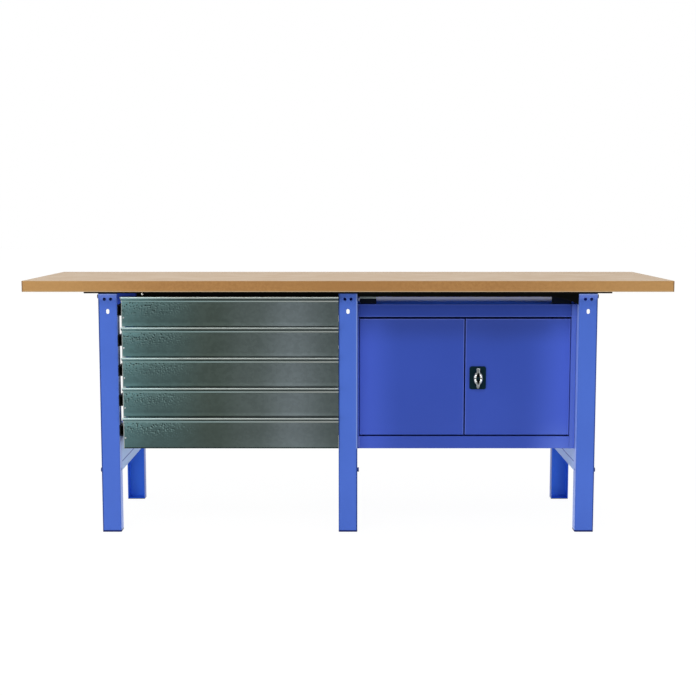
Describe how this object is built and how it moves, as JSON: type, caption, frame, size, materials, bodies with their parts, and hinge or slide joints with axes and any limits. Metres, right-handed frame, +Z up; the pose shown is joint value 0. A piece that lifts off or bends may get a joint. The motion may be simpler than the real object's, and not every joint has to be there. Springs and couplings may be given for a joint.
{
  "type": "workbench with drawers",
  "caption": "Steel workbench with a wide wooden top, a stack of drawers on telescopic slides and a two-door cabinet closed by a turn handle with lock rods.",
  "frame": {"origin": "on the floor under the middle of the worktop", "axes": "+X to the right along the bench, from the drawers to the cabinet; +Y to the back; +Z up"},
  "size_m": [2.1, 0.6, 0.835],
  "materials": {
    "board": "sealed fibreboard",
    "blue_paint": "satin powder coat",
    "black_paint": "satin powder coat",
    "galvanised_sheet": "galvanised, spangled",
    "slide_black": "black coated",
    "zinc_fasteners": "zinc plated",
    "lock_black": "matt moulded",
    "handle_chrome": "polished chrome"
  },
  "bodies": {
    "frame": {"cabinet_back": "blue_paint", "cabinet_floor": "blue_paint", "cabinet_hangers": "black_paint", "cabinet_left_side": "blue_paint", "cabinet_right_side": "blue_paint", "cabinet_screws": "zinc_fasteners", "cabinet_shelf": "blue_paint", "cabinet_top": "blue_paint", "door_pivot_pins": "zinc_fasteners", "frame_bolts": "zinc_fasteners", "front_rail": "black_paint", "left_front_beam": "black_paint", "left_front_leg": "blue_paint", "left_lower_crossbar": "blue_paint", "left_rear_leg": "blue_paint", "left_top_crossbar": "blue_paint", "middle_front_leg": "blue_paint", "middle_lower_crossbar": "blue_paint", "middle_rear_leg": "blue_paint", "middle_top_crossbar": "blue_paint", "rear_rail": "black_paint", "rear_stringers": "blue_paint", "right_front_beam": "black_paint", "right_front_leg": "blue_paint", "right_lower_crossbar": "blue_paint", "right_rear_leg": "blue_paint", "right_top_crossbar": "blue_paint", "shelf_clips": "zinc_fasteners", "slide_rails": "slide_black", "worktop": "board", "worktop_screws": "zinc_fasteners"},
    "drawer_1": {"drawer_1_box": "galvanised_sheet", "drawer_1_front": "galvanised_sheet", "drawer_1_runners": "slide_black"},
    "slide_1": {"drawer_1_slide_middles": "slide_black"},
    "drawer_2": {"drawer_2_box": "galvanised_sheet", "drawer_2_front": "galvanised_sheet", "drawer_2_runners": "slide_black"},
    "slide_2": {"drawer_2_slide_middles": "slide_black"},
    "drawer_3": {"drawer_3_box": "galvanised_sheet", "drawer_3_front": "galvanised_sheet", "drawer_3_runners": "slide_black"},
    "slide_3": {"drawer_3_slide_middles": "slide_black"},
    "drawer_4": {"drawer_4_box": "galvanised_sheet", "drawer_4_front": "galvanised_sheet", "drawer_4_runners": "slide_black"},
    "slide_4": {"drawer_4_slide_middles": "slide_black"},
    "drawer_5": {"drawer_5_box": "galvanised_sheet", "drawer_5_front": "galvanised_sheet", "drawer_5_runners": "slide_black"},
    "slide_5": {"drawer_5_slide_middles": "slide_black"},
    "left_door": {"left_door": "blue_paint"},
    "right_door": {"right_door": "blue_paint", "lock_plate": "lock_black"},
    "turn_handle": {"turn_handle": "handle_chrome", "lock_cam": "zinc_fasteners"},
    "lock_barrel": {"lock_barrel": "handle_chrome"},
    "upper_lock_rod": {"upper_lock_rod": "zinc_fasteners"},
    "lower_lock_rod": {"lower_lock_rod": "zinc_fasteners"}
  },
  "joints": [
    {"name": "drawer_1_slide", "type": "slide", "parent": "frame", "child": "drawer_1", "axis": [0, -1, 0], "range_m": [0, 0.42]},
    {"name": "slide_1_follow", "type": "slide", "parent": "frame", "child": "slide_1", "axis": [0, -1, 0], "range_m": [0, 0.21]},
    {"name": "drawer_2_slide", "type": "slide", "parent": "frame", "child": "drawer_2", "axis": [0, -1, 0], "range_m": [0, 0.42]},
    {"name": "slide_2_follow", "type": "slide", "parent": "frame", "child": "slide_2", "axis": [0, -1, 0], "range_m": [0, 0.21]},
    {"name": "drawer_3_slide", "type": "slide", "parent": "frame", "child": "drawer_3", "axis": [0, -1, 0], "range_m": [0, 0.42]},
    {"name": "slide_3_follow", "type": "slide", "parent": "frame", "child": "slide_3", "axis": [0, -1, 0], "range_m": [0, 0.21]},
    {"name": "drawer_4_slide", "type": "slide", "parent": "frame", "child": "drawer_4", "axis": [0, -1, 0], "range_m": [0, 0.42]},
    {"name": "slide_4_follow", "type": "slide", "parent": "frame", "child": "slide_4", "axis": [0, -1, 0], "range_m": [0, 0.21]},
    {"name": "drawer_5_slide", "type": "slide", "parent": "frame", "child": "drawer_5", "axis": [0, -1, 0], "range_m": [0, 0.42]},
    {"name": "slide_5_follow", "type": "slide", "parent": "frame", "child": "slide_5", "axis": [0, -1, 0], "range_m": [0, 0.21]},
    {"name": "left_door_hinge", "type": "hinge", "parent": "frame", "child": "left_door", "pos_m": [0.0531, -0.2245, 0.321], "axis": [0, 0, -1], "range_deg": [0, 100]},
    {"name": "right_door_hinge", "type": "hinge", "parent": "frame", "child": "right_door", "pos_m": [0.7159, -0.2245, 0.321], "axis": [0, 0, 1], "range_deg": [0, 100]},
    {"name": "handle_turn", "type": "hinge", "parent": "right_door", "child": "turn_handle", "pos_m": [0.4275, -0.2504, 0.5115], "axis": [0, -1, 0], "range_deg": [0, 90]},
    {"name": "barrel_turn", "type": "hinge", "parent": "turn_handle", "child": "lock_barrel", "pos_m": [0.4275, -0.2504, 0.5115], "axis": [0, -1, 0], "range_deg": [0, 90]},
    {"name": "upper_rod_throw", "type": "slide", "parent": "right_door", "child": "upper_lock_rod", "axis": [0, 0, 1], "range_m": [0, 0.0155]},
    {"name": "lower_rod_throw", "type": "slide", "parent": "right_door", "child": "lower_lock_rod", "axis": [0, 0, -1], "range_m": [0, 0.0155]}
  ],
  "couplings": [
    {"joint": "slide_1_follow", "follows": "drawer_1_slide", "ratio": 0.5},
    {"joint": "slide_2_follow", "follows": "drawer_2_slide", "ratio": 0.5},
    {"joint": "slide_3_follow", "follows": "drawer_3_slide", "ratio": 0.5},
    {"joint": "slide_4_follow", "follows": "drawer_4_slide", "ratio": 0.5},
    {"joint": "slide_5_follow", "follows": "drawer_5_slide", "ratio": 0.5},
    {"joint": "upper_rod_throw", "follows": "handle_turn", "m_per_rad": 0.0095493},
    {"joint": "lower_rod_throw", "follows": "handle_turn", "m_per_rad": 0.0095493}
  ]
}
